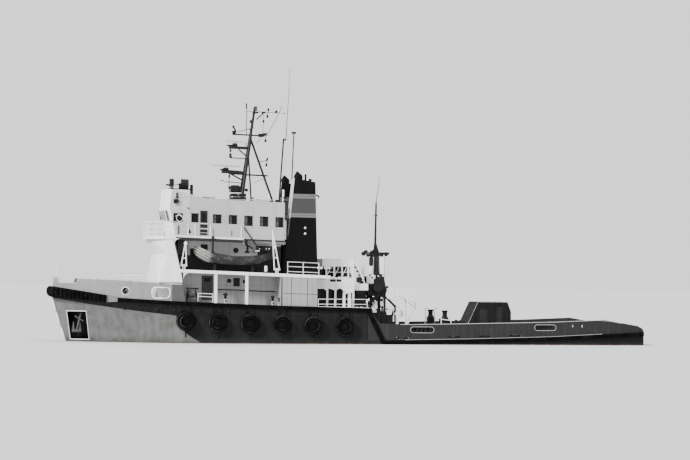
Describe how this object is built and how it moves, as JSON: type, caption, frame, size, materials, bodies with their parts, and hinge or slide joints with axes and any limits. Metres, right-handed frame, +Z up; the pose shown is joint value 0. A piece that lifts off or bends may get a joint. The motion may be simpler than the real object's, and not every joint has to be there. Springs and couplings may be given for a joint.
{
  "type": "tugboat, 1:2 scale model",
  "caption": "Anchor-handling tug with raised forecastle, forward wheelhouse, twin funnels, tripod mast, tyre fenders and a long low aft working deck with stern roller.",
  "frame": {"origin": "on the centreline, amidships, at the waterline", "axes": "+X aft towards the stern, +Y to starboard, +Z up"},
  "size_m": [23.9744, 6.273, 13.2053],
  "materials": {
    "hull_paint": "satin, black topsides with a light grey bow panel",
    "light_grey_paint": "satin",
    "dark_grey_paint": "satin",
    "white_paint": "satin",
    "black_steel": "semi-gloss",
    "rubber": "matte",
    "funnel_paint": "semi-gloss, with a mid-grey band",
    "worn_steel": "worn",
    "bronze": "polished",
    "deck_wood": "weathered",
    "boat_paint": "mottled",
    "window_glass": "clear",
    "antifouling": "matte",
    "door_paint": "satin"
  },
  "bodies": {
    "vessel": {"bulwark_fore": "light_grey_paint", "bulwark_aft_port": "dark_grey_paint", "bulwark_aft_stbd": "dark_grey_paint", "bulwark_quarter_port": "dark_grey_paint", "bulwark_quarter_stbd": "dark_grey_paint", "fender_bow": "rubber", "fender_port": "rubber", "fender_stbd": "rubber", "anchor_port": "black_steel", "anchor_stbd": "black_steel", "nozzle_port": "antifouling", "nozzle_stbd": "antifouling", "hull": "hull_paint", "deck_planking": "deck_wood", "winch_frame": "black_steel", "deckhouse_main": "light_grey_paint", "superstructure_front": "white_paint", "boat_deck": "white_paint", "deckhouse_upper": "light_grey_paint", "bridge_deck": "white_paint", "wheelhouse_front": "white_paint", "wheelhouse_side_port": "light_grey_paint", "wheelhouse_side_stbd": "light_grey_paint", "wheelhouse_roof": "light_grey_paint", "glass_front": "window_glass", "glass_port": "window_glass", "glass_stbd": "window_glass", "funnel_port": "funnel_paint", "funnel_stbd": "funnel_paint", "mast": "black_steel", "aft_mast": "black_steel", "aerials": "black_steel", "lookout_fittings": "black_steel", "aft_platform": "white_paint", "gangway": "white_paint", "deck_casing": "black_steel", "windlass_frame": "black_steel"},
    "propeller_port": {"propeller_port": "bronze"},
    "propeller_stbd": {"propeller_stbd": "bronze"},
    "rudder_port": {"rudder_port": "antifouling"},
    "rudder_stbd": {"rudder_stbd": "antifouling"},
    "stern_roller": {"stern_roller": "worn_steel"},
    "winch_drum_main": {"winch_drum_main": "black_steel"},
    "winch_drum_aft": {"winch_drum_aft": "white_paint"},
    "windlass_drum": {"windlass_drum": "worn_steel"},
    "radar_scanner_upper": {"radar_scanner_upper": "light_grey_paint"},
    "radar_scanner_lower": {"radar_scanner_lower": "light_grey_paint"},
    "bridge_door_port": {"bridge_door_port": "door_paint"},
    "bridge_door_stbd": {"bridge_door_stbd": "door_paint"},
    "deck_door_port": {"deck_door_port": "door_paint"},
    "deck_door_stbd": {"deck_door_stbd": "door_paint"},
    "davits_port": {"davit_fore_port": "white_paint", "davit_aft_port": "white_paint"},
    "davits_stbd": {"davit_fore_stbd": "white_paint", "davit_aft_stbd": "white_paint"},
    "lifeboat_port": {"lifeboat_port": "boat_paint"},
    "lifeboat_stbd": {"lifeboat_stbd": "boat_paint"},
    "crane_column": {"crane_column": "black_steel"},
    "crane_jib": {"crane_jib": "black_steel"},
    "fire_monitor": {"fire_monitor": "black_steel"}
  },
  "joints": [
    {"name": "propeller_port_spin", "type": "hinge", "parent": "vessel", "child": "propeller_port", "pos_m": [9.9, -1.35, -1.33], "axis": [1, 0, 0], "continuous": true},
    {"name": "propeller_stbd_spin", "type": "hinge", "parent": "vessel", "child": "propeller_stbd", "pos_m": [9.9, 1.35, -1.33], "axis": [1, 0, 0], "continuous": true},
    {"name": "rudder_port_turn", "type": "hinge", "parent": "vessel", "child": "rudder_port", "pos_m": [10.72, -1.35, -1.3], "axis": [0, 0, 1], "range_deg": [-35, 35]},
    {"name": "rudder_stbd_turn", "type": "hinge", "parent": "vessel", "child": "rudder_stbd", "pos_m": [10.72, 1.35, -1.3], "axis": [0, 0, 1], "range_deg": [-35, 35]},
    {"name": "stern_roller_spin", "type": "hinge", "parent": "vessel", "child": "stern_roller", "pos_m": [11.64, 0, 0.41], "axis": [0, 1, 0], "continuous": true},
    {"name": "winch_main_spin", "type": "hinge", "parent": "vessel", "child": "winch_drum_main", "pos_m": [1.28, 0, 2.25], "axis": [0, 1, 0], "continuous": true},
    {"name": "winch_aft_spin", "type": "hinge", "parent": "vessel", "child": "winch_drum_aft", "pos_m": [1.815, 0, 1.955], "axis": [0, 1, 0], "continuous": true},
    {"name": "windlass_spin", "type": "hinge", "parent": "vessel", "child": "windlass_drum", "pos_m": [-9.9, 0, 2.18], "axis": [0, 1, 0], "continuous": true},
    {"name": "radar_upper_spin", "type": "hinge", "parent": "vessel", "child": "radar_scanner_upper", "pos_m": [-4.46, 0, 8.09533], "axis": [0, 0, 1], "continuous": true},
    {"name": "radar_lower_spin", "type": "hinge", "parent": "vessel", "child": "radar_scanner_lower", "pos_m": [-4.83, 0, 7.09767], "axis": [0, 0, 1], "continuous": true},
    {"name": "bridge_door_port_swing", "type": "hinge", "parent": "vessel", "child": "bridge_door_port", "pos_m": [-6.068, -2.298, 4.74893], "axis": [0, 0, -1], "range_deg": [0, 100]},
    {"name": "bridge_door_stbd_swing", "type": "hinge", "parent": "vessel", "child": "bridge_door_stbd", "pos_m": [-6.068, 2.298, 4.74893], "axis": [0, 0, 1], "range_deg": [0, 100]},
    {"name": "deck_door_port_swing", "type": "hinge", "parent": "vessel", "child": "deck_door_port", "pos_m": [-5.969, -2.098, 2.19563], "axis": [0, 0, -1], "range_deg": [0, 100]},
    {"name": "deck_door_stbd_swing", "type": "hinge", "parent": "vessel", "child": "deck_door_stbd", "pos_m": [-5.969, 2.098, 2.19563], "axis": [0, 0, 1], "range_deg": [0, 100]},
    {"name": "davits_port_swing", "type": "hinge", "parent": "vessel", "child": "davits_port", "pos_m": [-6.75, -2.79, 3.05667], "axis": [0.9994, 0, -0.0333], "range_deg": [0, 70]},
    {"name": "lifeboat_port_hang", "type": "hinge", "parent": "davits_port", "child": "lifeboat_port", "pos_m": [-6.75, -2.475, 3.94167], "axis": [0.9994, 0, -0.0333], "range_deg": [-70, 0]},
    {"name": "davits_stbd_swing", "type": "hinge", "parent": "vessel", "child": "davits_stbd", "pos_m": [-6.75, 2.79, 3.05667], "axis": [-0.9994, 0, 0.0333], "range_deg": [0, 70]},
    {"name": "lifeboat_stbd_hang", "type": "hinge", "parent": "davits_stbd", "child": "lifeboat_stbd", "pos_m": [-6.75, 2.475, 3.94167], "axis": [-0.9994, 0, 0.0333], "range_deg": [-70, 0]},
    {"name": "crane_slew", "type": "hinge", "parent": "vessel", "child": "crane_column", "pos_m": [-3.805, -2.385, 3.72], "axis": [0, 0, 1], "range_deg": [0, 100]},
    {"name": "crane_luff", "type": "hinge", "parent": "crane_column", "child": "crane_jib", "pos_m": [-3.805, -2.385, 3.835], "axis": [0, -1, 0], "range_deg": [-15, 25]},
    {"name": "fire_monitor_swivel", "type": "hinge", "parent": "vessel", "child": "fire_monitor", "pos_m": [-7.015, 0, 6.3305], "axis": [0, 0, 1], "range_deg": [-100, 100]}
  ],
  "couplings": [
    {"joint": "rudder_stbd_turn", "follows": "rudder_port_turn", "ratio": 1},
    {"joint": "lifeboat_port_hang", "follows": "davits_port_swing", "ratio": -1},
    {"joint": "lifeboat_stbd_hang", "follows": "davits_stbd_swing", "ratio": -1}
  ]
}
